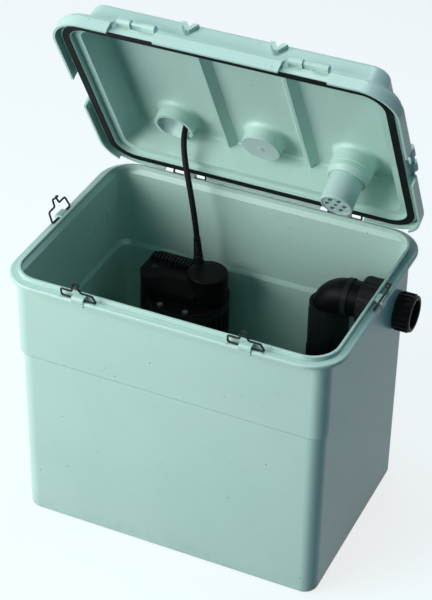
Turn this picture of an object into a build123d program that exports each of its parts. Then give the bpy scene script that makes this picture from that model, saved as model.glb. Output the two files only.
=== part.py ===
from build123d import *
import os
from math import cos, pi, radians, sin, tan

# Wastewater lifting station: tank, hinged lid, pump with float switch, check valve and union outlet.
# Millimetres. X runs along the front, Y to the back, Z up. The origin is on the floor, under the middle.

# Tank
rim_length = 480.0
rim_depth = 345.6
rim_corner = 51.0
tank_height = 405.0
wall = 4.0
lip_height = 6.2
lip_inset = 11.0
lip_width = 4.0
mouth_flare = 7.0
rim_skirt = 5.0
rim_wall = 3.0
body_inset = 15.0
body_corner = 20.0
step_height = 272.0
step_inset = 3.4
ledge_drop = 2.0
ledge_rise = 5.0
step_bevel = 2.0
step_bevel_height = 3.0
base_inset = 19.0
base_fillet = 6.0
fit_gap = 0.3
ring_radius = 21.0
ring_width = 2.4
ring_height = 1.0
ring_y = 90.0
ring_z = 338.0

# Lid, drawn shut and turned open about the hinge line
open_angle = 61.0
skirt_clearance = 0.3
skirt_wall = 3.2
first_tier = 18.0
second_tier = 23.0
tier_inset = 5.5
dome_height = 61.7
dome_foot_inset = 29.0
dome_top_inset = 33.5
dome_wall = 4.5
dome_fold = 6.0
channel_roof = 14.5
carrier_inset = 9.1
carrier_width = 12.8
bead_width = 1.4
bead_depth = 2.0
seal_depth = 3.0
seal_gap = 0.3
rear_relief = 6.3
rear_relief_length = 438.0
rear_relief_reach = 20.0
notch_length = 65.0
notch_pitch = 237.0
rib_pitch = 123.0
rib_base = 24.0
rib_ridge = 5.0
rib_depth = 12.0
rib_wall = 4.0

# Sockets in the lid
socket_pitch = 132.0
socket_setback = 77.0
socket_bore = 50.5
socket_outer = 58.0
socket_end = 34.0
socket_stop = 47.6
stop_bore = 48.8
socket_flare = 7.0
vent_sleeve_outer = 61.0
vent_sleeve_end = 19.0
vent_sleeve_step = 35.0
vent_sleeve_taper = 27.0
vent_sleeve_tip = 53.0
vent_tube_outer = 46.0
vent_tube_bore = 41.0
vent_tube_end = -22.0
vent_fit = 0.15
plug_head = 1.6
plug_head_radius = 28.0
plug_height = 8.5
plug_wall = 2.5

# Wire clips, on all four sides of the rim
wire = 2.8
clip_inset = 5.1
clip_length = 51.0
clip_shoulder = 16.0
clip_shoulder_length = 45.0
nub_base = 13.0
nub_top = 8.0
hook_reach = 27.7
hook_bend = 2.0
wire_bend = 3.0
pad_length = 17.0
pad_height = 4.2
pad_drop = 9.4
pin_gap = 0.05
clip_lean = 24.0
catch_height = 23.4
catch_bead = 5.0
catch_nose = 4.8
catch_length = 53.0
catch_window = 16.0

# Pump
floor_top = wall
pump_x = -82.0
pump_y = 88.0
pump_radius = 59.0
block_left = -147.0
block_front = 56.0
block_back = 118.0
block_corner = 12.0
motor_x = -52.0
motor_y = 88.0
cap_radius = 29.0
strainer_top = 36.0
casing_top = 96.0
seam_height = 256.0
block_top = 298.0
cap_top = 306.0
shell_wall = 3.0
chamber_low = 48.0
chamber_high = 72.0
chamber_radius = 28.0
inlet_radius = 12.0
shaft_radius = 4.0
run_gap = 0.05
motor_bore = 26.4
stator_low = 112.0
stator_high = 190.0
rotor_radius = 13.8
air_gap = 0.5
bearing_radius = 12.0
bearing_height = 9.0
seal_radius = 9.0
well_left = -138.0
well_right = -91.0
well_front = 65.0
well_back = 111.0
float_x = -114.5
float_radius = 20.0
float_low = 110.0
float_length = 48.0
float_rod_radius = 2.5
crest_teeth = 12
crest_pitch = 5.3
crest_y = 97.0
gland_x = -75.0
gland_y = 106.0
gland_top = 312.0
gland_radius = 9.5
screw_radius = 2.5
screw_inset = 7.0

# Discharge line
pipe_radius = 20.0
pipe_bore = 17.0
pipe_y = 108.0
delivery_z = 60.0
riser_x = 125.5
outlet_z = 313.0
socket_depth = 15.0
socket_fit = 0.1
fitting_radius = 24.0
bend_radius = 34.0
valve_low = 200.0
valve_high = 284.0
valve_radius = 29.0
flap_radius = 20.0
flap_pin = 1.25
pin_play = 0.1
bend_bore = 18.0
seat_radius = 15.0
union_radius = 36.0
wall_nut_radius = 27.5
cord_radius = 4.15
outlet_bore = 20.1
flange_radius = 29.5

# What lies behind the tank
coil_x = -60.0
coil_y = 223.0
coil_radius = 45.5
coil_section = 25.0
plug_radius = 19.0
plug_length = 45.0
boot_length = 34.0
pin_radius = 2.4
pin_length = 19.0
pin_spacing = 19.0

band_z = tank_height - lip_height
skirt_tip_z = band_z + skirt_clearance
rim_front = -rim_depth / 2
rim_back = rim_depth / 2
rim_left = -rim_length / 2
rim_right = rim_length / 2
hinge_y = rim_back - clip_inset
hinge_z = skirt_tip_z + catch_height
carrier_depth = tank_height + seal_gap + seal_depth - skirt_tip_z
hinge_line = Axis((0, hinge_y, hinge_z), (-1, 0, 0))
clip_z = band_z + wire / 2 + 0.2
inner_right = rim_right - body_inset - wall
outer_right = rim_right - body_inset
inner_left = rim_left + body_inset + wall

os.makedirs("parts", exist_ok=True)


def keep(piece, name):
    """Label a finished piece and write it."""
    piece.label = name
    export_step(piece, f"parts/{name}.step")


def outline(inset):
    """The rim's rounded outline, moved in all round."""
    return RectangleRounded(rim_length - 2 * inset, rim_depth - 2 * inset, rim_corner - inset)


def slab(inset, low, high, mode=Mode.ADD):
    """A plate of the rim's outline between two heights."""
    with BuildSketch(Plane.XY.offset(low)) as shape:
        outline(inset)
    extrude(shape.sketch, amount=high - low, mode=mode)


def tapered(inset_low, low, inset_high, high, corner, mode=Mode.ADD, corner_high=None):
    """A box with draft, its insets taken from the rim."""
    if corner_high is None:
        corner_high = corner
    with BuildSketch(Plane.XY.offset(low)) as foot:
        RectangleRounded(rim_length - 2 * inset_low, rim_depth - 2 * inset_low, corner)
    with BuildSketch(Plane.XY.offset(high)) as head:
        RectangleRounded(rim_length - 2 * inset_high, rim_depth - 2 * inset_high, corner_high)
    loft([foot.sketch, head.sketch], mode=mode)


def post(x, y, low, high, radius, mode=Mode.ADD):
    """An upright cylinder."""
    with Locations((x, y, low)):
        Cylinder(radius, high - low, align=(Align.CENTER, Align.CENTER, Align.MIN), mode=mode)


def bar(left, right, y, z, radius, mode=Mode.ADD):
    """A cylinder lying along X."""
    with Locations(((left + right) / 2, y, z)):
        Cylinder(radius, right - left, rotation=(0, 90, 0), mode=mode)


def block(left, right, front, back, low, high, mode=Mode.ADD):
    """A plain block between limits."""
    with Locations((left, front, low)):
        Box(right - left, back - front, high - low, align=(Align.MIN, Align.MIN, Align.MIN), mode=mode)


def side_planes(lean):
    """Six clip places: name, middle of the bar, direction along the bar, direction in to the tank."""
    half = notch_pitch / 2
    front_y = rim_front + clip_inset
    back_y = rim_back - clip_inset
    left_x = rim_left + clip_inset
    right_x = rim_right - clip_inset
    places = [
        ("front_left_clip", (-half, front_y), (-1, 0, 0), (0, 1, 0), lean),
        ("front_right_clip", (half, front_y), (-1, 0, 0), (0, 1, 0), lean),
        ("left_clip", (left_x, 0), (0, 1, 0), (1, 0, 0), lean),
        ("right_clip", (right_x, 0), (0, -1, 0), (-1, 0, 0), lean),
        ("rear_left_clip", (-half, back_y), (1, 0, 0), (0, -1, 0), hooked_lean),
        ("rear_right_clip", (half, back_y), (1, 0, 0), (0, -1, 0), hooked_lean),
    ]
    return places


bead_radius = catch_bead / 2
nub_offset = bead_radius + wire / 2 + 0.25
hinge_rise = hinge_z - clip_z
hooked_lean = 180 / pi * (nub_offset / hinge_rise)
hook_swing = hook_reach - hinge_rise + wire / 2 + fit_gap

# Tank: body in two tiers, turned-out rim, sealing lip, bearing pads
with BuildPart() as tank:
    tapered(base_inset, 0, body_inset + step_inset, step_height, body_corner)
    fillet(tank.faces().sort_by(Axis.Z)[0].edges(), base_fillet)
    bevel_top = step_height + step_bevel_height
    tapered(body_inset + step_bevel, step_height, body_inset, bevel_top, body_corner)
    tapered(body_inset, bevel_top, body_inset, band_z - 2, body_corner)
    slab(0, band_z - rim_skirt, band_z)
    fillet(tank.edges().group_by(Axis.Z)[-1], 2.6)
    with BuildSketch(Plane.XY.offset(band_z - rim_skirt)) as rim_hollow:
        outline(rim_wall)
        RectangleRounded(
            rim_length - 2 * body_inset, rim_depth - 2 * body_inset, body_corner, mode=Mode.SUBTRACT
        )
    extrude(rim_hollow.sketch, amount=rim_skirt - rim_wall, mode=Mode.SUBTRACT)
    slab(lip_inset, band_z, tank_height)
    fillet(tank.edges().group_by(Axis.Z)[-1], 1.2)
    slab(lip_inset + lip_width, band_z, tank_height + 1, Mode.SUBTRACT)
    mouth_inset = lip_inset + lip_width
    tapered(
        body_inset + wall,
        band_z - mouth_flare,
        mouth_inset,
        band_z,
        body_corner - wall,
        Mode.SUBTRACT,
        rim_corner - mouth_inset,
    )
    lower_inset = body_inset + step_inset + wall
    upper_inset = body_inset + wall
    upper_top = band_z - mouth_flare
    ledge_foot = step_height - ledge_drop
    ledge_head = step_height + ledge_rise
    tapered(base_inset + wall, wall, lower_inset, ledge_foot, body_corner - wall, Mode.SUBTRACT)
    tapered(lower_inset, ledge_foot, upper_inset, ledge_head, body_corner - wall, Mode.SUBTRACT)
    tapered(upper_inset, ledge_head, upper_inset, upper_top, body_corner - wall, Mode.SUBTRACT)
    # bearing pads for the clips
    for name, (x, y), along, inward, lean in side_planes(clip_lean):
        pad_plane = Plane(origin=(x, y, clip_z), x_dir=inward, z_dir=-Vector(*along))
        with BuildSketch(pad_plane) as pad:
            with Locations((-clip_inset - 1.0, -rim_skirt)):
                pad_top = rim_skirt + pad_height
                pad_reach = lip_inset + 1.0 + wire / 2
                Rectangle(pad_reach, pad_top, align=(Align.MIN, Align.MIN))
            fillet(pad.vertices().group_by(Axis.Z)[-1], 3.2)
        extrude(pad.sketch, amount=pad_length / 2, both=True)
        with BuildSketch(pad_plane) as pad_foot:
            with BuildLine():
                foot_reach = body_inset + 1.0 - clip_inset
                Polyline(
                    (-clip_inset - 1.0, -rim_skirt + 1.0),
                    (-clip_inset - 1.0, -pad_drop + 2.0),
                    (-clip_inset + 1.0, -pad_drop),
                    (foot_reach, -pad_drop - 3.0),
                    (foot_reach, -rim_skirt + 1.0),
                    close=True,
                )
            make_face()
        extrude(pad_foot.sketch, amount=pad_length / 2, both=True)
    for name, (x, y), along, inward, lean in side_planes(clip_lean):
        pad_plane = Plane(origin=(x, y, clip_z), x_dir=inward, z_dir=-Vector(*along))
        with BuildSketch(pad_plane) as pin_hole:
            Circle(wire / 2 + pin_gap)
        extrude(pin_hole.sketch, amount=pad_length, both=True, mode=Mode.SUBTRACT)
    # raised ring round the place of a second outlet, on the left wall
    bar(inner_left - 1, inner_left + ring_height, ring_y, ring_z, ring_radius)
    bar(inner_left, inner_left + ring_height + 1, ring_y, ring_z, ring_radius - ring_width, Mode.SUBTRACT)
    # hole for the bulkhead fitting
    bar(inner_right - 5, outer_right + 5, pipe_y, outlet_z, fitting_radius + 0.5, Mode.SUBTRACT)
keep(tank.part, "tank")


def opened(piece):
    """A lid piece, turned from shut to the rest position."""
    return piece.rotate(hinge_line, open_angle)


def at_height(w):
    """World height of a level above the skirt's tip, with the lid shut."""
    return skirt_tip_z + w


socket_y = rim_back - socket_setback
dome_under = dome_height - dome_wall

# Lid: skirt, two tiers, dome, ribs, sockets, notches and catches
with BuildPart() as lid:
    slab(0, at_height(0), at_height(first_tier))
    fillet(lid.edges().group_by(Axis.Z)[-1], 2.5)
    slab(tier_inset, at_height(first_tier), at_height(second_tier))
    tapered(
        dome_foot_inset, at_height(second_tier - 1), dome_top_inset, at_height(dome_height), rim_corner - 29
    )
    fillet(lid.edges().group_by(Axis.Z)[-1], dome_fold)
    # hollow between skirt and seal carrier
    with BuildSketch(Plane.XY.offset(at_height(0))) as channel:
        outline(skirt_wall)
        outline_inner = carrier_inset
        RectangleRounded(
            rim_length - 2 * outline_inner,
            rim_depth - 2 * outline_inner,
            rim_corner - outline_inner,
            mode=Mode.SUBTRACT,
        )
    extrude(channel.sketch, amount=channel_roof, mode=Mode.SUBTRACT)
    # seal groove between two beads, then the inside
    slab(carrier_inset, at_height(0), at_height(carrier_depth - bead_depth), Mode.SUBTRACT)
    with BuildSketch(Plane.XY.offset(at_height(carrier_depth - bead_depth))) as groove:
        outline(carrier_inset + bead_width)
        groove_inner = carrier_inset + carrier_width - bead_width
        RectangleRounded(
            rim_length - 2 * groove_inner,
            rim_depth - 2 * groove_inner,
            rim_corner - groove_inner,
            mode=Mode.SUBTRACT,
        )
    extrude(groove.sketch, amount=bead_depth, mode=Mode.SUBTRACT)
    slab(carrier_inset + carrier_width, at_height(0), at_height(channel_roof), Mode.SUBTRACT)
    with BuildPart(mode=Mode.PRIVATE) as inside:
        tapered(
            dome_foot_inset + dome_wall,
            at_height(channel_roof - 1),
            dome_top_inset + dome_wall,
            at_height(dome_under),
            rim_corner - 29 - dome_wall,
        )
        fillet(inside.edges().group_by(Axis.Z)[-1], dome_fold - 1)
    add(inside.part, mode=Mode.SUBTRACT)
    # stiffening ribs, pressed in from above
    for rib_x in (-rib_pitch / 2, rib_pitch / 2):
        rib_plane = Plane(origin=(rib_x, rim_back, skirt_tip_z), x_dir=(1, 0, 0), z_dir=(0, -1, 0))
        with BuildSketch(rib_plane.offset(dome_top_inset - 8)) as rib:
            with BuildLine():
                Polyline(
                    (-rib_base / 2, dome_under),
                    (-rib_ridge / 2, dome_under - rib_depth),
                    (rib_ridge / 2, dome_under - rib_depth),
                    (rib_base / 2, dome_under),
                    close=True,
                )
            make_face()
        extrude(rib.sketch, amount=rim_depth - 2 * dome_top_inset + 16)
        with BuildSketch(rib_plane.offset(dome_foot_inset - 5)) as groove_top:
            with BuildLine():
                half_top = rib_base / 2 - 3.2
                low = dome_height - rib_depth
                Polyline((-half_top, dome_height + 1), (0, low), (half_top, dome_height + 1), close=True)
            make_face()
        extrude(groove_top.sketch, amount=rim_depth - 2 * dome_foot_inset + 10, mode=Mode.SUBTRACT)
    # sockets for inlet pipes and the vent sleeve, each turned about its axis, with a flared root
    plain_end = [(socket_outer / 2, socket_end)]
    stepped_end = [
        (vent_sleeve_outer / 2, vent_sleeve_step),
        (vent_sleeve_outer / 2 - 0.6, vent_sleeve_step - 0.6),
        (vent_sleeve_outer / 2 - 0.6, vent_sleeve_taper),
        (vent_sleeve_tip / 2, vent_sleeve_end),
    ]
    plugged_end = [(socket_outer / 2, socket_end + plug_head)]
    for x, ends in ((-socket_pitch, plain_end), (0, plugged_end), (socket_pitch, stepped_end)):
        outer = ends[0][0]
        socket_plane = Plane(origin=(x, socket_y, skirt_tip_z), x_dir=(1, 0, 0), z_dir=(0, -1, 0))
        with BuildSketch(socket_plane) as socket_profile:
            with BuildLine():
                Polyline(*ends[::-1], (outer, dome_under - socket_flare))
                bend = socket_flare * (1 - cos(radians(45)))
                ThreePointArc(
                    (outer, dome_under - socket_flare),
                    (outer + bend, dome_under - bend),
                    (outer + socket_flare, dome_under),
                )
                Polyline(
                    (outer + socket_flare, dome_under),
                    (outer + socket_flare, dome_under + 0.5),
                    (0, dome_under + 0.5),
                    (0, ends[-1][1]),
                    ends[-1],
                )
            make_face()
        revolve(socket_profile.sketch, axis=Axis((x, socket_y, 0), (0, 0, 1)))
    for x in (-socket_pitch, 0):
        post(x, socket_y, at_height(socket_end) - 1, at_height(dome_height), stop_bore / 2, Mode.SUBTRACT)
        post(x, socket_y, at_height(socket_stop), at_height(dome_height) + 1, socket_bore / 2, Mode.SUBTRACT)
    vent_bore = vent_tube_outer / 2 + vent_fit
    post(socket_pitch, socket_y, at_height(vent_sleeve_end) - 1, at_height(dome_height) + 1, vent_bore, Mode.SUBTRACT)
    # relief at the back, so that the skirt swings over the tank's lip
    block(
        -rear_relief_length / 2,
        rear_relief_length / 2,
        rim_back - rear_relief_reach,
        rim_back + 1,
        at_height(-1),
        at_height(rear_relief),
        Mode.SUBTRACT,
    )
    # notches for the clips
    notch_depth = carrier_inset - 0.4
    for name, (x, y), along, inward, lean in side_planes(clip_lean):
        notch_plane = Plane(origin=(x, y, skirt_tip_z), x_dir=inward, z_dir=-Vector(*along))
        with BuildSketch(notch_plane) as notch:
            with Locations((-clip_inset - 2, -2)):
                Rectangle(notch_depth + 2, second_tier + 4, align=(Align.MIN, Align.MIN))
        extrude(notch.sketch, amount=notch_length / 2, both=True, mode=Mode.SUBTRACT)
    # catches: two noses with a round bead between them, under the hook of a clip
    for name, (x, y), along, inward, lean in side_planes(clip_lean):
        catch_plane = Plane(origin=(x, y, hinge_z), x_dir=inward, z_dir=-Vector(*along))
        with BuildSketch(catch_plane) as nose:
            Circle(catch_nose)
            nose_root = notch_depth - clip_inset + 3.0
            Rectangle(nose_root, 2 * catch_nose, align=(Align.MIN, Align.CENTER))
        extrude(nose.sketch, amount=catch_length / 2, both=True)
        with BuildSketch(catch_plane) as window:
            with Locations((-catch_nose - 1, -catch_nose - 1)):
                Rectangle(catch_nose + 1 + hook_swing, 2 * catch_nose + 2, align=(Align.MIN, Align.MIN))
        extrude(window.sketch, amount=catch_window / 2, both=True, mode=Mode.SUBTRACT)
        with BuildSketch(catch_plane) as bead:
            Circle(bead_radius)
        extrude(bead.sketch, amount=catch_window / 2, both=True)
keep(opened(lid.part), "lid")

# Lid seal, a flat ring in the groove
with BuildPart() as lid_seal:
    with BuildSketch(Plane.XY.offset(at_height(carrier_depth - seal_depth))) as seal_ring:
        seal_outer = carrier_inset + bead_width
        outline(seal_outer)
        seal_inner = carrier_inset + carrier_width - bead_width
        RectangleRounded(
            rim_length - 2 * seal_inner, rim_depth - 2 * seal_inner, rim_corner - seal_inner, mode=Mode.SUBTRACT
        )
    extrude(seal_ring.sketch, amount=seal_depth)
keep(opened(lid_seal.part), "lid_seal")

# Blanking plug in the middle socket: a thin head over the end, a cup inside
plug_face = at_height(socket_end)
plug_seat = plug_face + plug_head
plug_back = plug_seat + plug_height
with BuildPart() as blanking_plug:
    post(0, socket_y, plug_face, plug_seat, plug_head_radius)
    fillet(blanking_plug.edges().group_by(Axis.Z)[0], 0.8)
    post(0, socket_y, plug_seat, plug_back, stop_bore / 2)
    chamfer(blanking_plug.edges().group_by(Axis.Z)[-1], 1.0)
    post(0, socket_y, plug_seat + plug_wall, plug_back + 1, stop_bore / 2 - plug_wall, Mode.SUBTRACT)
    post(0, socket_y, plug_face - 0.8, plug_face + 0.4, 4.0)
keep(opened(blanking_plug.part), "blanking_plug")

# Vent filter: tube, perforated end grille, cartridge
vent_low = at_height(vent_tube_end)
vent_high = at_height(dome_height - 2)
grille_height = 3.0
grille_ring = 12.5
grille_hole = 4.2
with BuildPart() as vent_tube:
    post(socket_pitch, socket_y, vent_low, vent_high, vent_tube_outer / 2)
    post(socket_pitch, socket_y, vent_low - 1, vent_high + 1, vent_tube_bore / 2, Mode.SUBTRACT)
    fillet(vent_tube.edges().group_by(Axis.Z)[0].sort_by(SortBy.LENGTH)[-1], 1.2)
keep(opened(vent_tube.part), "vent_tube")

with BuildPart() as vent_grille:
    post(socket_pitch, socket_y, vent_low + 1, vent_low + 1 + grille_height, vent_tube_bore / 2)
    with Locations((socket_pitch, socket_y, vent_low + 1 + grille_height / 2)):
        with PolarLocations(grille_ring, 6):
            Cylinder(grille_hole, grille_height + 1, mode=Mode.SUBTRACT)
    post(socket_pitch, socket_y, vent_low, vent_low + grille_height + 2, grille_hole - 0.8, Mode.SUBTRACT)
keep(opened(vent_grille.part), "vent_grille")

with BuildPart() as vent_cartridge:
    post(socket_pitch, socket_y, vent_low + 1 + grille_height, vent_high - 12, vent_tube_bore / 2)
keep(opened(vent_cartridge.part), "vent_cartridge")

# Wire clips
for name, (x, y), along, inward, lean in side_planes(clip_lean):
    tilt = radians(lean)
    into = Vector(*inward)
    clip_normal = into * cos(tilt) + Vector(0, 0, 1) * sin(tilt)
    clip_plane = Plane(origin=(x, y, clip_z), x_dir=along, z_dir=clip_normal)
    hook_angle = radians(hooked_lean)
    hook_up = hook_reach * cos(hook_angle)
    hook_in = hook_reach * sin(hook_angle)
    half_bar = clip_length / 2
    half_shoulder = clip_shoulder_length / 2
    with BuildPart() as clip:
        with BuildLine(clip_plane) as clip_path:
            FilletPolyline(
                (0, 0, 0),
                (half_bar, 0, 0),
                (half_shoulder, clip_shoulder, 0),
                (nub_base / 2, clip_shoulder, 0),
                (nub_top / 2, hook_up - 0.6, 0),
                (nub_top / 2, hook_up, hook_in),
                (-nub_top / 2, hook_up, hook_in),
                (-nub_top / 2, hook_up - 0.6, 0),
                (-nub_base / 2, clip_shoulder, 0),
                (-half_shoulder, clip_shoulder, 0),
                (-half_bar, 0, 0),
                (-0.6, 0, 0),
                radius=[wire_bend, wire_bend, 2.0, hook_bend, hook_bend, hook_bend, hook_bend, 2.0, wire_bend, wire_bend],
            )
        start = clip_path.wire() @ 0
        with BuildSketch(Plane(origin=start, z_dir=Vector(*along))) as wire_section:
            Circle(wire / 2)
        sweep(wire_section.sketch, path=clip_path.wire())
    keep(clip.part, name)


def pump_plan():
    """Outline of the pump seen from above: round body with a squared end over the float well."""
    with Locations((pump_x, pump_y)):
        Circle(pump_radius)
    with Locations(((block_left + pump_x) / 2, (block_front + block_back) / 2)):
        RectangleRounded(pump_x - block_left, block_back - block_front, block_corner)


def pump_slab(low, high, mode=Mode.ADD):
    """A plate of the pump's outline."""
    with BuildSketch(Plane.XY.offset(low)) as plan:
        pump_plan()
    extrude(plan.sketch, amount=high - low, mode=mode)


def float_well(low, high):
    """The upright well in which the float moves."""
    with BuildSketch(Plane.XY.offset(low)) as well:
        with Locations(((well_left + well_right) / 2, (well_front + well_back) / 2)):
            RectangleRounded(well_right - well_left, well_back - well_front, 8)
    extrude(well.sketch, amount=high - low, mode=Mode.SUBTRACT)


screw_ring = pump_radius - screw_inset
screw_places = (-115, -70, 70, 115)

# Strainer base
with BuildPart() as strainer_base:
    pump_slab(floor_top, strainer_top)
    with BuildSketch(Plane.XY.offset(floor_top + shell_wall)) as strainer_inside:
        with Locations((pump_x, pump_y)):
            Circle(pump_radius - 10)
    extrude(strainer_inside.sketch, amount=strainer_top, mode=Mode.SUBTRACT)
    with Locations((pump_x, pump_y, (floor_top + shell_wall + strainer_top) / 2)):
        with PolarLocations(pump_radius - 4, 20, start_angle=9):
            Box(24, 5, strainer_top - floor_top - shell_wall - 8, mode=Mode.SUBTRACT)
keep(strainer_base.part, "strainer_base")

# Pump casing with the impeller chamber and outlet socket
with BuildPart() as pump_casing:
    pump_slab(strainer_top, casing_top)
    bar(pump_x + pump_radius - 12, pump_x + pump_radius + 18, pipe_y, delivery_z, fitting_radius)
    post(motor_x, motor_y, strainer_top - 1, chamber_low, inlet_radius, Mode.SUBTRACT)
    post(motor_x, motor_y, chamber_low, chamber_high, chamber_radius, Mode.SUBTRACT)
    post(motor_x, motor_y, chamber_high, casing_top, shaft_radius + 0.4, Mode.SUBTRACT)
    post(motor_x, motor_y, chamber_high + 3, casing_top + 1, seal_radius + socket_fit, Mode.SUBTRACT)
    post(motor_x, motor_y, casing_top - bearing_height, casing_top + 1, bearing_radius + socket_fit, Mode.SUBTRACT)
    bar(motor_x, pump_x + pump_radius + 19, pipe_y - 4, delivery_z, 10.5, Mode.SUBTRACT)
    socket_start = pump_x + pump_radius + 18 - socket_depth
    bar(socket_start, socket_start + socket_depth + 1, pipe_y, delivery_z, pipe_radius + socket_fit, Mode.SUBTRACT)
    float_well(strainer_top - 1, casing_top + 1)
keep(pump_casing.part, "pump_casing")

# Motor housing with cooling ribs
with BuildPart() as motor_housing:
    pump_slab(casing_top, seam_height)
    with Locations((pump_x, pump_y, (casing_top + seam_height) / 2)):
        with PolarLocations(pump_radius, 19, start_angle=-100, angular_range=200):
            Box(4, 4.5, seam_height - casing_top - 24, mode=Mode.SUBTRACT)
    post(motor_x, motor_y, casing_top - 1, seam_height + 1, motor_bore, Mode.SUBTRACT)
    float_well(casing_top - 1, seam_height + 1)
keep(motor_housing.part, "motor_housing")

# Top cover: lower flange, squared block over the float well, round cap over the motor, toothed crest
with BuildPart() as top_cover:
    pump_slab(seam_height, seam_height + 6)
    fillet(top_cover.edges().group_by(Axis.Z)[-1], 2.0)
    with BuildSketch(Plane.XY.offset(seam_height)) as upper_plan:
        with Locations(((block_left + motor_x) / 2, (block_front + block_back) / 2)):
            RectangleRounded(motor_x - block_left, block_back - block_front, block_corner)
    extrude(upper_plan.sketch, amount=block_top - seam_height)
    with BuildSketch(Plane.YZ.offset(block_left - 1)) as slope:
        with BuildLine():
            Polyline(
                (block_front - 1, block_top - 26),
                (block_front + 9, block_top + 1),
                (block_front - 1, block_top + 1),
                close=True,
            )
        make_face()
    extrude(slope.sketch, amount=motor_x - block_left + 2, mode=Mode.SUBTRACT)
    post(motor_x, motor_y, seam_height, cap_top, cap_radius)
    fillet(top_cover.edges().group_by(Axis.Z)[-1], 3.0)
    for tooth in range(crest_teeth):
        tooth_x = block_left + 6 + tooth * crest_pitch
        block(tooth_x - 1.4, tooth_x + 1.4, crest_y - 7, crest_y + 7, block_top - 1, cap_top)
    with BuildSketch(Plane.XY.offset(seam_height - 1)) as switch_room:
        with Locations(((well_left + well_right) / 2, (well_front + well_back) / 2)):
            RectangleRounded(well_right - well_left, well_back - well_front, 8)
    extrude(switch_room.sketch, amount=29, mode=Mode.SUBTRACT)
    post(motor_x, motor_y, seam_height - 1, cap_top - 6, cap_radius - 6, Mode.SUBTRACT)
    post(gland_x, gland_y, block_top, cap_top + 1, gland_radius + fit_gap, Mode.SUBTRACT)
keep(top_cover.part, "top_cover")

with BuildPart() as cable_gland:
    post(gland_x, gland_y, block_top, block_top + 7, gland_radius)
    with Locations((gland_x, gland_y, block_top + 7)):
        Cone(8.0, 6.0, gland_top - block_top - 7, align=(Align.CENTER, Align.CENTER, Align.MIN))
    with Locations((gland_x, gland_y, block_top + 3.5)):
        with PolarLocations(gland_radius, 10):
            Cylinder(1.1, 7, mode=Mode.SUBTRACT)
keep(cable_gland.part, "cable_gland")

with BuildPart() as cover_screws:
    for angle in screw_places:
        screw_x = pump_x + screw_ring * cos(radians(angle))
        screw_y = pump_y + screw_ring * sin(radians(angle))
        post(screw_x, screw_y, seam_height + 6, seam_height + 8.4, screw_radius + 1.6)
        post(screw_x, screw_y, seam_height + 7, seam_height + 9, 1.3, Mode.SUBTRACT)
keep(cover_screws.part, "cover_screws")

# Motor
with BuildPart() as stator:
    post(motor_x, motor_y, stator_low, stator_high, motor_bore)
    post(motor_x, motor_y, stator_low - 1, stator_high + 1, rotor_radius + air_gap, Mode.SUBTRACT)
keep(stator.part, "stator")

with BuildPart() as rotor:
    post(motor_x, motor_y, stator_low + 2, stator_high - 2, rotor_radius)
    post(motor_x, motor_y, stator_low, stator_high, shaft_radius, Mode.SUBTRACT)
keep(rotor.part, "rotor")

shaft_low = chamber_low + 4
shaft_high = stator_high + 29
with BuildPart() as shaft:
    post(motor_x, motor_y, shaft_low, shaft_high, shaft_radius)
    chamfer(shaft.edges().group_by(Axis.Z)[-1], 0.8)
keep(shaft.part, "shaft")

lower_bearing_low = casing_top - bearing_height
upper_bearing_low = stator_high + 18
for name, low in (("lower_bearing", lower_bearing_low), ("upper_bearing", upper_bearing_low)):
    with BuildPart() as bearing:
        post(motor_x, motor_y, low, low + bearing_height, bearing_radius)
        post(motor_x, motor_y, low - 1, low + bearing_height + 1, shaft_radius + run_gap, Mode.SUBTRACT)
        groove_radius = (bearing_radius + shaft_radius) / 2
        with Locations((motor_x, motor_y, low + bearing_height)):
            Torus(groove_radius, 1.2, mode=Mode.SUBTRACT)
    keep(bearing.part, name)

with BuildPart() as bearing_bracket:
    post(motor_x, motor_y, upper_bearing_low - 3, upper_bearing_low + bearing_height, motor_bore)
    post(motor_x, motor_y, upper_bearing_low, upper_bearing_low + 20, bearing_radius, Mode.SUBTRACT)
    post(motor_x, motor_y, upper_bearing_low - 4, upper_bearing_low + 1, shaft_radius + 2, Mode.SUBTRACT)
    with Locations((motor_x, motor_y, upper_bearing_low + 3)):
        with PolarLocations(19.5, 6):
            Cylinder(3.2, 14, mode=Mode.SUBTRACT)
keep(bearing_bracket.part, "bearing_bracket")

with BuildPart() as shaft_seal:
    post(motor_x, motor_y, chamber_high + 3, lower_bearing_low, seal_radius)
    post(motor_x, motor_y, chamber_high, lower_bearing_low + 1, shaft_radius + run_gap, Mode.SUBTRACT)
keep(shaft_seal.part, "shaft_seal")

# Impeller: back plate, curved vanes and hub
vane_count = 6
impeller_radius = chamber_radius - 3
with BuildPart() as impeller:
    post(motor_x, motor_y, chamber_high - 5, chamber_high - 1.5, impeller_radius)
    post(motor_x, motor_y, chamber_low + 8, chamber_high - 1.5, 8.0)
    for vane in range(vane_count):
        turn = radians(360 / vane_count * vane)
        vane_plane = Plane(origin=(motor_x, motor_y, chamber_low + 9), x_dir=(cos(turn), sin(turn), 0), z_dir=(0, 0, 1))
        with BuildSketch(vane_plane) as vane_shape:
            with BuildLine():
                RadiusArc((6.5, 0), (impeller_radius - 2, 9), 24)
            trace(line_width=2.2)
        extrude(vane_shape.sketch, amount=chamber_high - 5 - chamber_low - 9)
    post(motor_x, motor_y, chamber_low, chamber_high + 1, shaft_radius, Mode.SUBTRACT)
keep(impeller.part, "impeller")

with BuildPart() as impeller_nut:
    with BuildSketch(Plane.XY.offset(chamber_low + 4)) as nut_plan:
        with Locations((motor_x, motor_y)):
            RegularPolygon(6.5, 6)
            Circle(shaft_radius, mode=Mode.SUBTRACT)
    extrude(nut_plan.sketch, amount=4)
keep(impeller_nut.part, "impeller_nut")

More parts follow.
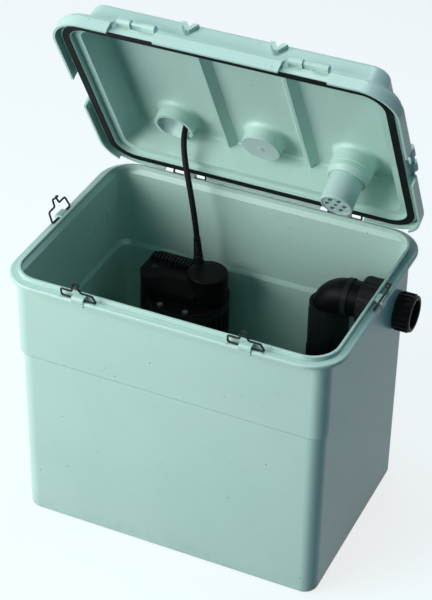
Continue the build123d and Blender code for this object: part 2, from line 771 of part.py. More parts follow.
# Float switch
rod_high = seam_height + 10
with BuildPart() as float_rod:
    post(float_x, pump_y, float_low - 20, rod_high, float_rod_radius)
    post(float_x, pump_y, float_low - 20, float_low, 7.0)
keep(float_rod.part, "float_rod")

with BuildPart() as float_body:
    post(float_x, pump_y, float_low, float_low + float_length, float_radius)
    fillet(float_body.edges().group_by(Axis.Z)[0], 4)
    fillet(float_body.edges().group_by(Axis.Z)[-1], 4)
    post(float_x, pump_y, float_low - 1, float_low + float_length + 1, float_rod_radius + 0.4, Mode.SUBTRACT)
keep(float_body.part, "float")

with BuildPart() as level_switch:
    block(well_left, well_right, well_front + 8, well_back - 8, rod_high, rod_high + 14)
    fillet(level_switch.edges().filter_by(Axis.Z), 2)
keep(level_switch.part, "level_switch")

with BuildPart() as capacitor:
    post(motor_x, motor_y, cap_top - 6 - 56, cap_top - 6, 15.0)
    fillet(capacitor.edges().group_by(Axis.Z)[0], 2)
keep(capacitor.part, "motor_capacitor")

# Delivery pipe along the floor, foot elbow and riser
pipe_left = socket_start
elbow_face = riser_x - bend_radius - socket_depth
with BuildPart() as delivery_pipe:
    bar(pipe_left, elbow_face + socket_depth, pipe_y, delivery_z, pipe_radius)
    bar(pipe_left - 1, elbow_face + socket_depth + 1, pipe_y, delivery_z, pipe_bore, Mode.SUBTRACT)
keep(delivery_pipe.part, "delivery_pipe")

foot_top = delivery_z + bend_radius
with BuildPart() as foot_elbow:
    with BuildLine(Plane.XZ.offset(-pipe_y)) as foot_path:
        Line((elbow_face, delivery_z), (riser_x - bend_radius, delivery_z))
        RadiusArc((riser_x - bend_radius, delivery_z), (riser_x, foot_top), -bend_radius)
        Line((riser_x, foot_top), (riser_x, foot_top + socket_depth))
    foot_plane = Plane(origin=(elbow_face, pipe_y, delivery_z), z_dir=(1, 0, 0))
    with BuildSketch(foot_plane) as foot_section:
        Circle(fitting_radius)
        Circle(pipe_bore, mode=Mode.SUBTRACT)
    sweep(foot_section.sketch, path=foot_path.wire())
    bar(elbow_face - 1, elbow_face + socket_depth, pipe_y, delivery_z, pipe_radius + socket_fit, Mode.SUBTRACT)
    post(riser_x, pipe_y, foot_top, foot_top + socket_depth + 1, pipe_radius + socket_fit, Mode.SUBTRACT)
keep(foot_elbow.part, "foot_elbow")

with BuildPart() as riser_pipe:
    post(riser_x, pipe_y, foot_top, valve_low + socket_depth, pipe_radius)
    post(riser_x, pipe_y, foot_top - 1, valve_low + socket_depth + 1, pipe_bore, Mode.SUBTRACT)
keep(riser_pipe.part, "riser_pipe")

# Check valve: body, seat and flap
seat_z = valve_low + socket_depth + 3
flap_hinge_y = pipe_y + flap_radius + 1.0
flap_hinge_z = seat_z + 6 + 2.6
with BuildPart() as valve_body:
    post(riser_x, pipe_y, valve_low, valve_high, valve_radius)
    post(riser_x, pipe_y, valve_low, valve_low + 20, valve_radius + 1.0)
    fillet(valve_body.edges().group_by(Axis.Z)[0], 1.5)
    post(riser_x, pipe_y, valve_low - 1, valve_low + socket_depth, pipe_radius + socket_fit, Mode.SUBTRACT)
    post(riser_x, pipe_y, valve_low, seat_z + 1, seat_radius, Mode.SUBTRACT)
    post(riser_x, pipe_y, seat_z, valve_high + 1, valve_radius - 3.5, Mode.SUBTRACT)
keep(valve_body.part, "check_valve_body")

with BuildPart() as valve_seat:
    post(riser_x, pipe_y, seat_z, seat_z + 5, valve_radius - 3.5)
    post(riser_x, pipe_y, seat_z - 1, seat_z + 6, seat_radius, Mode.SUBTRACT)
    for ear_x in (riser_x - 8.5, riser_x + 8.5):
        block(ear_x - 1.5, ear_x + 1.5, flap_hinge_y - 2.2, flap_hinge_y + 2.2, seat_z + 5, flap_hinge_z + 2.4)
    bar(riser_x - 12, riser_x + 12, flap_hinge_y, flap_hinge_z, flap_pin + pin_play, Mode.SUBTRACT)
keep(valve_seat.part, "valve_seat")

with BuildPart() as valve_flap:
    post(riser_x, pipe_y, seat_z + 5.1, seat_z + 8.1, flap_radius - 1.4)
    block(riser_x - 5, riser_x + 5, pipe_y + 10, flap_hinge_y, seat_z + 5.1, seat_z + 8.1)
    bar(riser_x - 6.6, riser_x + 6.6, flap_hinge_y, flap_hinge_z, 2.6)
    bar(riser_x - 10, riser_x + 10, flap_hinge_y, flap_hinge_z, flap_pin)
keep(valve_flap.part, "valve_flap")

# Discharge bend and its union
bend_centre = 28.0
bend_outer = bend_bore + 7.5
bend_low = outlet_z - bend_centre
bend_right = riser_x + bend_centre
flange_left = inner_right - 34.0
union_flange = bend_outer + 4.5
with BuildPart() as discharge_bend:
    with BuildLine(Plane.XZ.offset(-pipe_y)) as bend_path:
        Line((riser_x, valve_high), (riser_x, bend_low))
        RadiusArc((riser_x, bend_low), (bend_right, outlet_z), bend_centre)
        Line((bend_right, outlet_z), (flange_left + 3, outlet_z))
    bend_plane = Plane(origin=(riser_x, pipe_y, valve_high), z_dir=(0, 0, 1))
    with BuildSketch(bend_plane) as bend_section:
        Circle(bend_outer)
    sweep(bend_section.sketch, path=bend_path.wire())
    post(riser_x, pipe_y, valve_high, valve_high + 13, bend_outer + 3.0)
    bar(bend_right - 4, bend_right + 4, pipe_y, outlet_z, bend_outer + 1.5)
    bar(flange_left, flange_left + 3, pipe_y, outlet_z, union_flange)
    with BuildSketch(bend_plane) as bore_section:
        Circle(bend_bore)
    sweep(bore_section.sketch, path=bend_path.wire(), mode=Mode.SUBTRACT)
keep(discharge_bend.part, "discharge_bend")


def grip_ribs(left, right, radius, count):
    """Rounded finger ribs round a nut that lies along X."""
    with Locations(Plane(origin=((left + right) / 2, pipe_y, outlet_z), z_dir=(1, 0, 0))):
        with PolarLocations(radius, count):
            Cylinder(1.5, right - left)


nut_left = flange_left - 13.0
nut_right = flange_left + 20.0
with BuildPart() as inner_union_nut:
    bar(nut_left, nut_right, pipe_y, outlet_z, union_radius - 1.5)
    grip_ribs(nut_left + 2, nut_right - 2, union_radius - 1.5, 24)
    bar(nut_left - 1, nut_right + 1, pipe_y, outlet_z, bend_outer + fit_gap, Mode.SUBTRACT)
    bar(flange_left - 0.3, nut_right + 1, pipe_y, outlet_z, union_flange + fit_gap, Mode.SUBTRACT)
keep(inner_union_nut.part, "inner_union_nut")

gasket = 2.5
spigot_end = outer_right + 19.0
with BuildPart() as bulkhead_fitting:
    bar(flange_left + 3, inner_right - 7, pipe_y, outlet_z, union_flange - 0.05)
    bar(inner_right - 12, inner_right - gasket, pipe_y, outlet_z, flange_radius)
    bar(inner_right - 21, spigot_end, pipe_y, outlet_z, fitting_radius)
    bar(flange_left - 7, spigot_end + 2, pipe_y, outlet_z, outlet_bore, Mode.SUBTRACT)
keep(bulkhead_fitting.part, "bulkhead_fitting")

with BuildPart() as bulkhead_gasket:
    bar(inner_right - gasket, inner_right, pipe_y, outlet_z, flange_radius)
    bar(inner_right - gasket - 1, inner_right + 1, pipe_y, outlet_z, fitting_radius + 0.2, Mode.SUBTRACT)
keep(bulkhead_gasket.part, "bulkhead_gasket")

with BuildPart() as outlet_nut:
    bar(outer_right + 0.4, outer_right + 25, pipe_y, outlet_z, wall_nut_radius - 1.4)
    fillet(outlet_nut.edges().group_by(Axis.X)[-1], 2.0)
    grip_ribs(outer_right + 1.5, outer_right + 21, wall_nut_radius - 1.4, 20)
    bar(outer_right, spigot_end + 0.3, pipe_y, outlet_z, fitting_radius + 0.3, Mode.SUBTRACT)
    bar(spigot_end, spigot_end + 8, pipe_y, outlet_z, outlet_bore + 0.6, Mode.SUBTRACT)
keep(outlet_nut.part, "outlet_nut")

# Power cord: up from the gland, through the lid's left socket, down behind the tank to a coil
cord_points = [
    (gland_x, gland_y, gland_top),
    (-78, 107.5, 345),
    (-85, 110, 385),
    (-96, 118, 422),
    (-110, 130.9, 456),
    (-120.3, 150.3, 483.2),
    (-120.5, 174, 496),
    (-119.5, 201, 506),
    (-117.5, 229, 503),
    (-115.5, 252, 485),
    (-114, 265, 455),
    (-113, 268, 420),
    (-112, 268, 370),
    (-114, 265, 310),
    (-117, 264, 245),
    (-118.5, 267, 180),
    (-117.5, 270, 128),
    (-118.5, 270, 93),
    (-118, 269.5, 62),
    (-111, 269, 43),
    (-97.5, 268.7, 28.4),
    (-79.5, 268.5, 20.6),
    (coil_x, coil_y + coil_radius, 20.4),
]


def corner_radii(points):
    """Radius at each inner point: 0.45 of the shorter run over the tangent of half the turn."""
    radii = []
    for before, here, after in zip(points, points[1:], points[2:]):
        run_in = Vector(*here) - Vector(*before)
        run_out = Vector(*after) - Vector(*here)
        turn = run_in.get_angle(run_out)
        radii.append(0.45 * min(run_in.length, run_out.length) / tan(radians(turn / 2)))
    return radii


cord_radii = corner_radii(cord_points)
print("cord radii", [round(r) for r in cord_radii])
with BuildPart() as power_cord:
    with BuildLine() as cord_path:
        FilletPolyline(*cord_points, radius=cord_radii)
    cord_start = Plane(origin=cord_points[0], z_dir=cord_path.wire() % 0)
    with BuildSketch(cord_start) as cord_section:
        Circle(cord_radius)
    sweep(cord_section.sketch, path=cord_path.wire())
cord_length = cord_path.wire().length
print("cord tube length", round(cord_length), "volume ratio", power_cord.part.volume / (pi * cord_radius**2 * cord_length))
keep(power_cord.part, "power_cord")

# Coil, boot, plug and pins at the far end of the cord
with BuildPart() as cord_coil:
    with BuildSketch(Plane.XZ) as coil_shape:
        with Locations((coil_radius, coil_section / 2)):
            RectangleRounded(coil_section, coil_section, cord_radius)
    revolve(coil_shape.sketch, axis=Axis.Z)
keep(cord_coil.part.translate((coil_x, coil_y, 0)), "cord_coil")

plug_y = coil_y + coil_radius + 2 * cord_radius
boot_left = coil_x + ((coil_radius + coil_section / 2) ** 2 - (plug_y - coil_y) ** 2) ** 0.5 - 1.0
plug_left = boot_left + boot_length
boot_plane = Plane(origin=(boot_left, plug_y, plug_radius), z_dir=(1, 0, 0))
with BuildPart() as plug_boot:
    with BuildSketch(boot_plane) as boot_small:
        Circle(cord_radius + 1.3)
    with BuildSketch(boot_plane.offset(boot_length)) as boot_large:
        Circle(cord_radius + 5.5)
    loft([boot_small.sketch, boot_large.sketch])
keep(plug_boot.part, "plug_boot")

plug_plane = Plane(origin=(plug_left, plug_y, plug_radius), z_dir=(1, 0, 0))
with BuildPart() as mains_plug:
    with BuildSketch(Plane.XY) as plug_half:
        with BuildLine():
            Polyline((0, 0), (0, 11), (14, plug_radius), (plug_length, plug_radius), (plug_length, 0), close=True)
        make_face()
    revolve(plug_half.sketch, axis=Axis.X)
    fillet(mains_plug.edges().filter_by(GeomType.CIRCLE).sort_by(Axis.X)[1], 6)
    for side in (-1, 1):
        block(6, plug_length + 1, -5, 5, side * (plug_radius + 2) - 5, side * (plug_radius + 2) + 5, Mode.SUBTRACT)
keep(mains_plug.part.translate((plug_left, plug_y, plug_radius)), "mains_plug")

with BuildPart() as plug_pins:
    for side in (-0.5, 0.5):
        pin_y = plug_y + side * pin_spacing
        bar(plug_left + plug_length, plug_left + plug_length + pin_length, pin_y, plug_radius, pin_radius)
    fillet(plug_pins.edges().group_by(Axis.X)[-1], 1.5)
keep(plug_pins.part, "plug_pins")
turn_radii = [coil_radius + step * 2 * cord_radius for step in (0, -1, -1, -1, 0, 1, 1, 1)]
print("cord length with eight turns", round(cord_length + 2 * pi * sum(turn_radii)))
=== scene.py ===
import bmesh
import bpy
from math import cos, pi, radians, sin
from mathutils import Matrix, Vector


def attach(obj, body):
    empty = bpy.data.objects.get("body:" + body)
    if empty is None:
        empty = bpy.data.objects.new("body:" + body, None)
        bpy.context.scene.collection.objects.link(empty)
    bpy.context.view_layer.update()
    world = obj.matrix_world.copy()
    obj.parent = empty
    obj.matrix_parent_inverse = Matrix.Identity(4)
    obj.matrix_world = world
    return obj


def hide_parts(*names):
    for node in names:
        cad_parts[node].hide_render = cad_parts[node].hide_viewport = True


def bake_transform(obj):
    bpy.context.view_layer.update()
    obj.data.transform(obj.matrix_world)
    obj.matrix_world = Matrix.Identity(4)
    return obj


# Wastewater lifting station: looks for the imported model, in metres.

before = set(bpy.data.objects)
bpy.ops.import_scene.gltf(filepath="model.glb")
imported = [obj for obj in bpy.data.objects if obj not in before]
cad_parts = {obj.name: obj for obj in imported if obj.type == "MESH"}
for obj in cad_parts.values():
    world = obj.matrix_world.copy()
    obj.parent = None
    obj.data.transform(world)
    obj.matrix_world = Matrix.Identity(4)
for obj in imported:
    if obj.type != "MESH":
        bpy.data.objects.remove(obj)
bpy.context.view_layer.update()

# Camera at the photograph's angle
camera_data = bpy.data.cameras.new("camera")
camera_data.sensor_width = 36.0
camera_data.lens = 117.73
camera_data.shift_x = 0.0178
camera_data.shift_y = 0.0019
camera_data.clip_end = 50.0
camera = bpy.data.objects.new("camera", camera_data)
bpy.context.collection.objects.link(camera)
turned = Matrix.Rotation(radians(24.503), 4, "Z") @ Matrix.Rotation(radians(54.762), 4, "X")
tilted = Matrix.Rotation(radians(0.789), 4, "Z")
camera.matrix_world = Matrix.Translation((0.8918, -1.9894, 1.8667)) @ turned @ tilted
bpy.context.scene.camera = camera


class Wire:
    """One output of a shader node, which adds and multiplies like a number."""

    def __init__(self, tree, socket):
        self.tree = tree
        self.socket = socket

    def combine(self, operation, *terms):
        """A maths node of that operation on two wires or numbers."""
        node = self.tree.nodes.new("ShaderNodeMath")
        node.operation = operation
        for entry, term in zip(node.inputs, terms):
            plug_in(self.tree, term, entry)
        return Wire(self.tree, node.outputs[0])

    def __add__(self, other):
        return self.combine("ADD", self, other)

    __radd__ = __add__

    def __sub__(self, other):
        return self.combine("SUBTRACT", self, other)

    def __rsub__(self, other):
        return self.combine("SUBTRACT", other, self)

    def __mul__(self, other):
        return self.combine("MULTIPLY", self, other)

    def __gt__(self, other):
        return self.combine("GREATER_THAN", self, other)

    def __lt__(self, other):
        return self.combine("LESS_THAN", self, other)

    def larger(self, other):
        return self.combine("MAXIMUM", self, other)

    def between(self, low, high):
        """0 below low, 1 above high, smooth on the way."""
        node = self.tree.nodes.new("ShaderNodeMapRange")
        node.interpolation_type = "SMOOTHSTEP"
        plug_in(self.tree, self, node.inputs["Value"])
        node.inputs["From Min"].default_value = low
        node.inputs["From Max"].default_value = high
        return Wire(self.tree, node.outputs["Result"])


def plug_in(tree, value, entry):
    """Puts a wire or a plain value into a node's socket."""
    if isinstance(value, Wire):
        tree.links.new(value.socket, entry)
    else:
        entry.default_value = value


def colour_mix(tree, amount, first, second):
    """A colour between two, by an amount from 0 to 1."""
    made = tree.nodes.new("ShaderNodeMix")
    made.data_type = "RGBA"
    factor_socket, first_socket, second_socket, colour_output = 0, 6, 7, 2
    plug_in(tree, amount, made.inputs[factor_socket])
    plug_in(tree, first, made.inputs[first_socket])
    plug_in(tree, second, made.inputs[second_socket])
    return Wire(tree, made.outputs[colour_output])


def linear(red, green, blue):
    """A colour given as it looks on screen, 0 to 255, for a shader."""
    values = []
    for part in (red, green, blue):
        part = part / 255.0
        values.append(part / 12.92 if part <= 0.04045 else ((part + 0.055) / 1.055) ** 2.4)
    return (*values, 1.0)


class Finish:
    """A material of one surface, its nodes made by name."""

    def __init__(self, name, **uniform):
        self.material = bpy.data.materials.new(name)
        self.material.use_nodes = True
        self.tree = self.material.node_tree
        self.tree.nodes.clear()
        surface = self.tree.nodes.new("ShaderNodeOutputMaterial")
        self.shader = self.tree.nodes.new("ShaderNodeBsdfPrincipled")
        self.tree.links.new(self.shader.outputs[0], surface.inputs["Surface"])
        for key, value in uniform.items():
            title = key.replace("_", " ").title().replace("Ior", "IOR")
            self.shader.inputs[title].default_value = value
        self.place = self.node("ShaderNodeTexCoord", output="Object")

    def node(self, kind, output=0, **sockets):
        """Any node: its type, then the values or links of its sockets."""
        made = self.tree.nodes.new(kind)
        for key, value in sockets.items():
            plug_in(self.tree, value, made.inputs[key.replace("_", " ")])
        return Wire(self.tree, made.outputs[output])

    def noise(self, scale, detail, roughness):
        """Cloudy noise from 0 to 1, finer with a larger scale."""
        return self.node(
            "ShaderNodeTexNoise",
            output="Fac",
            Vector=self.place,
            Scale=scale,
            Detail=detail,
            Roughness=roughness,
        )

    def cells(self, scale):
        """The distance from the middle of the nearest of many scattered cells."""
        return self.node("ShaderNodeTexVoronoi", output="Distance", Vector=self.place, Scale=scale)

    def mix(self, amount, first, second):
        return colour_mix(self.tree, amount, first, second)

    def relief(self, height, depth, strength):
        """A bump of that depth in metres."""
        return self.node("ShaderNodeBump", output="Normal", Height=height, Distance=depth, Strength=strength)

    def edges(self, radius):
        """1 near sharp outer edges, 0 on flat faces."""
        pointed = self.node("ShaderNodeNewGeometry", output="Pointiness")
        return pointed.between(0.5 + radius, 0.5 + 2.5 * radius)

    def apply(self, **sockets):
        """Sets or links the shader's own sockets, and gives the material."""
        for key, value in sockets.items():
            plug_in(self.tree, value, self.shader.inputs[key.replace("_", " ")])
        return self.material


def moulded_plastic(name, tint, shade, speckled=True, gloss=0.36):
    """Pale moulded plastic with a faint flow pattern, fine grain, dark grit specks and a dusty foot."""
    finish = Finish(name, specular_ior_level=0.45, ior=1.48)
    flow = finish.noise(3.2, 4.0, 0.6)
    cloud = finish.noise(14.0, 3.0, 0.5)
    colour = finish.mix(flow.between(0.3, 0.72) * 0.5 + cloud * 0.2, linear(*tint), linear(*shade))
    mottle = finish.noise(210.0, 4.0, 0.7)
    colour = finish.mix(mottle.between(0.5, 0.82) * 0.22, colour, linear(158, 184, 176))
    if speckled:
        grit = finish.cells(46.0)
        rare = finish.noise(27.0, 1.0, 0.4)
        speck = (grit < 0.05) * (rare > 0.52)
        fine_grit = finish.cells(120.0)
        fine = (fine_grit < 0.07) * (finish.noise(61.0, 1.0, 0.4) > 0.6)
        colour = finish.mix(speck.larger(fine) * 0.7, colour, linear(74, 92, 88))
        height = finish.node("ShaderNodeSeparateXYZ", output="Z", Vector=finish.place)
        dust = finish.noise(38.0, 5.0, 0.7)
        foot = (1.0 - height.between(0.0, 0.035)) * dust.between(0.42, 0.7)
        colour = finish.mix(foot * 0.3, colour, linear(150, 162, 152))
    grain = finish.noise(900.0, 2.0, 0.6)
    scuff = finish.noise(60.0, 4.0, 0.7)
    rough = gloss + (scuff - 0.5) * 0.16
    return finish.apply(Base_Color=colour, Roughness=rough, Normal=finish.relief(grain, 0.00012, 0.35))


def black_plastic(name, tint, grain_size, gloss, worn=0.25):
    """Black moulded plastic, a little dusty, paler where edges rub."""
    finish = Finish(name, specular_ior_level=0.11, ior=1.45)
    dust = finish.noise(24.0, 5.0, 0.65)
    colour = finish.mix(dust.between(0.45, 0.85) * 0.25, linear(*tint), linear(28, 33, 35))
    rubbed = finish.edges(0.02)
    colour = finish.mix(rubbed * worn, colour, linear(58, 64, 66))
    grain = finish.noise(grain_size, 3.0, 0.6)
    rough = gloss + (dust - 0.5) * 0.25
    return finish.apply(Base_Color=colour, Roughness=rough, Normal=finish.relief(grain, 0.00015, 0.4))


def soft_rubber(name, tint):
    """Matt black rubber with a bloom."""
    finish = Finish(name, specular_ior_level=0.14, ior=1.48)
    bloom = finish.noise(70.0, 4.0, 0.6)
    colour = finish.mix(bloom.between(0.5, 0.9) * 0.25, linear(*tint), linear(28, 31, 33))
    grain = finish.noise(700.0, 2.0, 0.5)
    rough = 0.62 + (bloom - 0.5) * 0.2
    return finish.apply(Base_Color=colour, Roughness=rough, Normal=finish.relief(grain, 0.0001, 0.4))


def drawn_wire(name, tint, gloss):
    """Dark spring wire with drawing streaks, duller and darker in patches."""
    finish = Finish(name, metallic=0.85, specular_ior_level=0.5)
    patch = finish.noise(160.0, 4.0, 0.6)
    colour = finish.mix(patch.between(0.4, 0.75), linear(*tint), linear(14, 15, 16))
    streak = finish.noise(1400.0, 2.0, 0.6)
    rough = gloss + (patch - 0.5) * 0.3
    return finish.apply(Base_Color=colour, Roughness=rough, Normal=finish.relief(streak, 0.00005, 0.3))


def turned_metal(name, tint, gloss):
    """Machined metal with fine turning marks."""
    finish = Finish(name, metallic=1.0)
    spread = finish.noise(40.0, 3.0, 0.5)
    marks = finish.noise(1800.0, 2.0, 0.7)
    darker = [int(part * 0.82) for part in tint]
    colour = finish.mix(spread * 0.5, linear(*tint), linear(*darker))
    rough = gloss + (spread - 0.5) * 0.2
    return finish.apply(Base_Color=colour, Roughness=rough, Normal=finish.relief(marks, 0.00004, 0.3))


def loose_carbon(name):
    """Black granules of the vent filter."""
    finish = Finish(name, specular_ior_level=0.3)
    grains = finish.cells(420.0)
    colour = finish.mix(grains.between(0.1, 0.6), linear(16, 16, 17), linear(48, 48, 50))
    rough = 0.7 + grains * 0.2
    return finish.apply(Base_Color=colour, Roughness=rough, Normal=finish.relief(grains, 0.0008, 0.8))


# Cord: up from the gland, through the left socket, down behind to its coil and plug
cord_route = [
    (-0.075, 0.106, 0.312),
    (-0.078, 0.1075, 0.345),
    (-0.085, 0.110, 0.385),
    (-0.096, 0.118, 0.422),
    (-0.110, 0.1309, 0.456),
    (-0.1203, 0.1503, 0.4832),
    (-0.1205, 0.174, 0.496),
    (-0.1195, 0.201, 0.506),
    (-0.1175, 0.229, 0.503),
    (-0.1155, 0.252, 0.485),
    (-0.114, 0.265, 0.455),
    (-0.113, 0.268, 0.420),
    (-0.112, 0.268, 0.370),
    (-0.114, 0.265, 0.310),
    (-0.117, 0.264, 0.245),
    (-0.1185, 0.267, 0.180),
    (-0.1175, 0.270, 0.128),
    (-0.1185, 0.270, 0.093),
    (-0.118, 0.2695, 0.062),
    (-0.111, 0.269, 0.043),
    (-0.0975, 0.2687, 0.0284),
    (-0.0795, 0.2685, 0.0208),
]
cord_end = [(-0.060, 0.2768, 0.0204), (-0.045, 0.2768, 0.0195), (-0.037, 0.2768, 0.019)]
coil_middle = (-0.060, 0.223)
# Radius and height of each turn of the coil
coil_turns = [
    (0.0455, 0.0207),
    (0.0372, 0.0207),
    (0.0372, 0.0125),
    (0.0372, 0.0043),
    (0.0455, 0.0043),
    (0.0538, 0.0043),
    (0.0538, 0.0125),
    (0.0538, 0.0207),
]
points_per_turn = 16
crossing_points = 4


def coil_points():
    """The put-away turns, side by side and layer on layer, clockwise from the back."""
    points = []
    for number, (radius, height) in enumerate(coil_turns):
        following = coil_turns[min(number + 1, len(coil_turns) - 1)]
        for step in range(points_per_turn):
            part = max(0.0, (step - points_per_turn + crossing_points) / crossing_points)
            here = radius + (following[0] - radius) * part
            level = height + (following[1] - height) * part
            angle = radians(90) - 2 * pi * step / points_per_turn
            across = coil_middle[0] + here * cos(angle)
            along = coil_middle[1] + here * sin(angle)
            points.append((across, along, level))
    return points


def smooth_tube(name, points, thickness, material):
    """A round cord along a smooth line with those control points, and the line that it follows."""
    data = bpy.data.curves.new(name + " line", "CURVE")
    data.dimensions = "3D"
    data.resolution_u = 6
    spline = data.splines.new("NURBS")
    spline.points.add(len(points) - 1)
    for point, place in zip(spline.points, points):
        point.co = (*place, 1.0)
    spline.order_u = 3
    spline.use_endpoint_u = True
    guide = bpy.data.objects.new(name + " line", data)
    bpy.context.collection.objects.link(guide)
    bare = bpy.data.meshes.new_from_object(guide)
    line = [tuple(vertex.co) for vertex in bare.vertices]
    data.bevel_depth = thickness / 2
    data.bevel_resolution = 4
    data.use_fill_caps = True
    tube = bpy.data.meshes.new_from_object(guide)
    bpy.data.objects.remove(guide)
    tube.materials.clear()
    tube.materials.append(material)
    for face in tube.polygons:
        face.use_smooth = True
    piece = bpy.data.objects.new(name, tube)
    bpy.context.collection.objects.link(piece)
    return piece, line


cord_rubber = soft_rubber("cord sheath", (8, 10, 12))
cord, cord_line = smooth_tube("cord", cord_route + coil_points() + cord_end, 0.0083, cord_rubber)
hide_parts("power_cord", "cord_coil")
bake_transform(cord)


def place_along(line, distance):
    """The point at that distance along a line, and the line's direction there."""
    spots = [Vector(spot) for spot in line]
    for here, following in zip(spots, spots[1:]):
        step = (following - here).length
        if distance <= step:
            return here.lerp(following, distance / step), (following - here).normalized()
        distance -= step
    return spots[-1], (spots[-1] - spots[-2]).normalized()


def finished_piece(name, shape, material, smooth=True):
    """A new piece from built-up faces."""
    bmesh.ops.recalc_face_normals(shape, faces=shape.faces)
    data = bpy.data.meshes.new(name)
    shape.to_mesh(data)
    shape.free()
    data.materials.append(material)
    for face in data.polygons:
        face.use_smooth = smooth
    piece = bpy.data.objects.new(name, data)
    bpy.context.collection.objects.link(piece)
    return piece


def join_rings(shape, rings, closed=False):
    """Faces between rings of points, one after the other."""
    pairs = list(zip(rings, rings[1:]))
    if closed:
        pairs.append((rings[-1], rings[0]))
    for low, high in pairs:
        for number in range(len(low)):
            following = (number + 1) % len(low)
            shape.faces.new((low[number], low[following], high[following], high[number]))


def grooved_sleeve(name, line, profile, material, sides=28):
    """A round sleeve along a line: its radius at each distance."""
    shape = bmesh.new()
    rings = []
    for distance, radius in profile:
        spot, way = place_along(line, distance)
        across = way.cross(Vector((0, 1, 0))).normalized()
        over = way.cross(across)
        ring = []
        for number in range(sides):
            turn = 2 * pi * number / sides
            ring.append(shape.verts.new(spot + (across * cos(turn) + over * sin(turn)) * radius))
        rings.append(ring)
    join_rings(shape, rings)
    shape.faces.new(rings[0])
    shape.faces.new(rings[-1])
    return finished_piece(name, shape, material)


# Tapered strain relief over the cord, on the gland: distance along the cord, and radius
relief_profile = [(0.0, 0.0068), (0.003, 0.0068), (0.0036, 0.0064)]
groove_count = 6
groove_pitch = 0.0042
groove_depth = 0.0009
first_groove = 0.0052
first_radius = 0.0063
taper_per_groove = 0.00022
for groove in range(groove_count):
    first = first_groove + groove * groove_pitch
    wide = first_radius - groove * taper_per_groove
    narrow = wide - groove_depth
    relief_profile += [
        (first, wide),
        (first + 0.0003, narrow),
        (first + 0.0013, narrow),
        (first + 0.0016, wide),
    ]
relief_profile += [(0.0325, 0.0049), (0.034, 0.0044)]
strain_relief = grooved_sleeve("strain_relief", cord_line, relief_profile, cord_rubber)
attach(strain_relief, "tank")


# Flat tie round the coil's turns
tie_reach = 0.0128
tie_low = 0.0003
tie_high = 0.0255
tie_corner = 0.004
tie_thickness = 0.0009
tie_half_width = 0.0035
# Height above the tie, reach outwards and half width of the buckle's outlines
buckle_outlines = [
    (0.0, -0.0055, 0.0048),
    (0.0009, -0.0061, 0.0053),
    (0.0021, -0.0061, 0.0053),
    (0.003, -0.005, 0.0044),
]
# Reach inwards and level of the tie's loose tail
tail_line = [(0.004, 0.0272), (0.009, 0.0286), (0.014, 0.0291), (0.019, 0.0284)]
tail_half_width = 0.003


def coil_tie(name, turn, material):
    """A flat tie round the coil's turns at that angle, with its folded buckle and tail."""
    out = Vector((cos(radians(turn)), sin(radians(turn)), 0))
    along = Vector((-out.y, out.x, 0))
    middle = Vector((*coil_middle, 0)) + out * coil_turns[0][0]
    shape = bmesh.new()

    def corner_at(side, level, shift):
        return shape.verts.new(middle + out * side + Vector((0, 0, level)) + along * shift)

    rings = []
    corners = [
        (tie_reach, tie_high, 0),
        (-tie_reach, tie_high, 90),
        (-tie_reach, tie_low, 180),
        (tie_reach, tie_low, 270),
    ]
    for side, level, first in corners:
        centre_side = side - tie_corner if side > 0 else side + tie_corner
        centre_level = level - tie_corner if level == tie_high else level + tie_corner
        for step in range(7):
            angle = radians(first + 15 * step)
            ring = []
            for inset, shift in (
                (tie_thickness, -tie_half_width),
                (tie_thickness, tie_half_width),
                (0.0, tie_half_width),
                (0.0, -tie_half_width),
            ):
                radius = tie_corner - inset
                sideways = centre_side + radius * cos(angle)
                upright = centre_level + radius * sin(angle)
                ring.append(corner_at(sideways, upright, shift))
            rings.append(ring)
    join_rings(shape, rings, closed=True)
    buckle = []
    for rise, reach, width in buckle_outlines:
        level = tie_high - 0.0002 + rise
        spread = [(reach, -width), (-reach, -width), (-reach, width), (reach, width)]
        buckle.append([corner_at(side, level, shift) for side, shift in spread])
    join_rings(shape, buckle)
    shape.faces.new(buckle[-1])
    tail = []
    for reach, level in tail_line:
        spread = [
            (-tail_half_width, 0.0),
            (tail_half_width, 0.0),
            (tail_half_width, tie_thickness),
            (-tail_half_width, tie_thickness),
        ]
        tail.append([corner_at(-reach, level + rise, shift) for shift, rise in spread])
    join_rings(shape, tail)
    shape.faces.new(tail[0])
    shape.faces.new(tail[-1])
    return finished_piece(name, shape, material, smooth=False)


tie = coil_tie("coil_tie", 160.0, black_plastic("tie plastic", (20, 21, 22), 500.0, 0.4))
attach(tie, "tank")


def flow_arrow(name, tip, length, width, height, material):
    """A raised arrowhead that stands on the pump's cover and points along the flow."""
    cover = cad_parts["top_cover"]
    above_the_lid = 0.6
    cover_level = 0.3
    sunk = -0.0004
    chamfer = 0.0006
    centre = -length * 0.55
    shape = bmesh.new()
    outline = [(0.0, 0.0), (-length, width / 2), (-length, -width / 2)]
    rings = []
    for inset, rise in ((0.0, sunk), (0.0, height * 0.6), (chamfer, height)):
        pull = 1.0 - inset / (length * 0.5)
        ring = []
        for along, across in outline:
            start = Vector((tip[0] + along, tip[1] + across, above_the_lid))
            found, spot, _, _ = cover.ray_cast(start, Vector((0, 0, -1)))
            level = spot.z if found else cover_level
            forward = centre + (along - centre) * pull
            ring.append(shape.verts.new((tip[0] + forward, tip[1] + across * pull, level + rise)))
        rings.append(ring)
    join_rings(shape, rings)
    shape.faces.new(rings[-1])
    return finished_piece(name, shape, material, smooth=False)


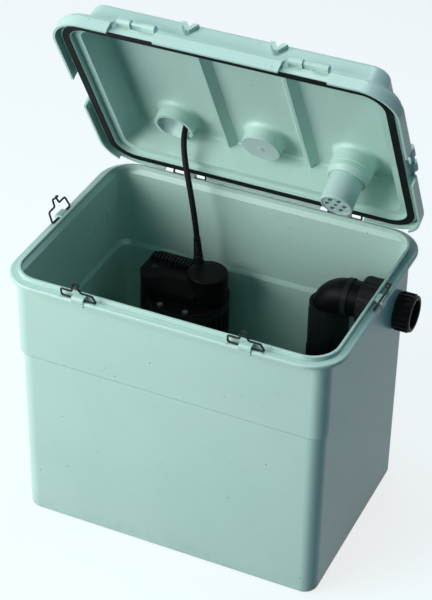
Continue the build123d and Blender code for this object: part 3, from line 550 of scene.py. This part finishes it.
# Finishes, then the parts that wear each
finishes = {
    "mint plastic": moulded_plastic("mint plastic", (181, 212, 203), (168, 200, 193)),
    "vent plastic": moulded_plastic("vent plastic", (182, 208, 205), (168, 196, 194), False, 0.38),
    "seal rubber": soft_rubber("seal rubber", (12, 14, 16)),
    "pump plastic": black_plastic("pump plastic", (8, 9, 10), 600.0, 0.46),
    "pipe plastic": black_plastic("pipe plastic", (4, 6, 8), 350.0, 0.46),
    "clip wire": drawn_wire("clip wire", (38, 39, 40), 0.42),
    "machined steel": turned_metal("machined steel", (196, 197, 198), 0.3),
    "cast aluminium": turned_metal("cast aluminium", (188, 190, 190), 0.5),
    "nickel": turned_metal("nickel", (206, 202, 192), 0.22),
    "carbon": loose_carbon("carbon granules"),
}
worn_by = {
    "mint plastic": ["tank", "lid"],
    "vent plastic": ["blanking_plug", "vent_tube", "vent_grille", "float", "motor_capacitor"],
    "seal rubber": ["lid_seal", "bulkhead_gasket", "shaft_seal", "valve_flap", "plug_boot", "mains_plug"],
    "pump plastic": [
        "strainer_base", "pump_casing", "motor_housing", "top_cover",
        "cable_gland", "impeller", "level_switch",
    ],
    "pipe plastic": [
        "delivery_pipe", "foot_elbow", "riser_pipe", "check_valve_body", "valve_seat", "discharge_bend",
        "inner_union_nut", "bulkhead_fitting", "outlet_nut",
    ],
    "clip wire": [
        "front_left_clip", "front_right_clip", "left_clip", "right_clip", "rear_left_clip", "rear_right_clip",
    ],
    "machined steel": [
        "cover_screws", "shaft", "rotor", "stator",
        "lower_bearing", "upper_bearing", "impeller_nut", "float_rod",
    ],
    "cast aluminium": ["bearing_bracket"],
    "nickel": ["plug_pins"],
    "carbon": ["vent_cartridge"],
}
for finish_name, names in worn_by.items():
    for name in names:
        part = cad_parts[name]
        part.data.materials.clear()
        part.data.materials.append(finishes[finish_name])

arrow_plastic = black_plastic("arrow plastic", (52, 58, 58), 600.0, 0.5)
cover_arrow = flow_arrow("cover_arrow", (-0.122, 0.078), 0.012, 0.011, 0.0012, arrow_plastic)
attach(cover_arrow, "tank")

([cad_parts[name] for name in ("plug_boot", "mains_plug", "plug_pins")]
    + [strain_relief, tie])

# Floor, light and world
bpy.ops.mesh.primitive_plane_add(size=12.0, location=(0, 0, 0))
floor = bpy.context.object
floor.name = "floor"


def bare_view(tree):
    """1 for what the camera sees, straight, in a gloss or through glass, else 0."""
    path = tree.nodes.new("ShaderNodeLightPath")
    straight, gloss, through = (
        Wire(tree, path.outputs[name]) for name in ("Is Camera Ray", "Is Glossy Ray", "Is Transmission Ray")
    )
    return straight.larger(gloss.larger(through))


black = (0.0, 0.0, 0.0, 1.0)
white = (1.0, 1.0, 1.0, 1.0)
floor_finish = Finish("floor", roughness=0.9, specular_ior_level=0.1, emission_strength=0.8)
floor_finish.apply(
    Base_Color=linear(98, 132, 138),
    Emission_Color=floor_finish.mix(bare_view(floor_finish.tree), black, white),
)
floor.data.materials.append(floor_finish.material)


def soft_light(name, place, aim, size, power, tint):
    """A square studio light aimed at a point."""
    data = bpy.data.lights.new(name, "AREA")
    data.shape = "SQUARE"
    data.size = size
    data.energy = power
    data.color = tint
    lamp = bpy.data.objects.new(name, data)
    bpy.context.collection.objects.link(lamp)
    lamp.location = place
    way = Vector(place) - Vector(aim)
    lamp.rotation_euler = way.to_track_quat("Z", "Y").to_euler()


middle_of_the_part = (0, 0, 0.3)
soft_light("key", (-1.75, -1.85, 1.15), middle_of_the_part, 2.1, 99.0, (1.0, 0.985, 0.96))
soft_light("top", (0.0, 0.35, 2.7), middle_of_the_part, 0.8, 25.0, (0.88, 0.97, 1.0))

# White where it is seen, and a dim blue where it only lights the shaded sides
shade_light = (0.01, 0.07, 0.11, 1.0)
world = bpy.data.worlds.new("studio")
bpy.context.scene.world = world
world.use_nodes = True
backdrop = world.node_tree.nodes["Background"]
seen = bare_view(world.node_tree)
plug_in(world.node_tree, colour_mix(world.node_tree, seen, shade_light, white), backdrop.inputs["Color"])
backdrop.inputs["Strength"].default_value = 1.0
bpy.context.scene.view_settings.view_transform = "Standard"
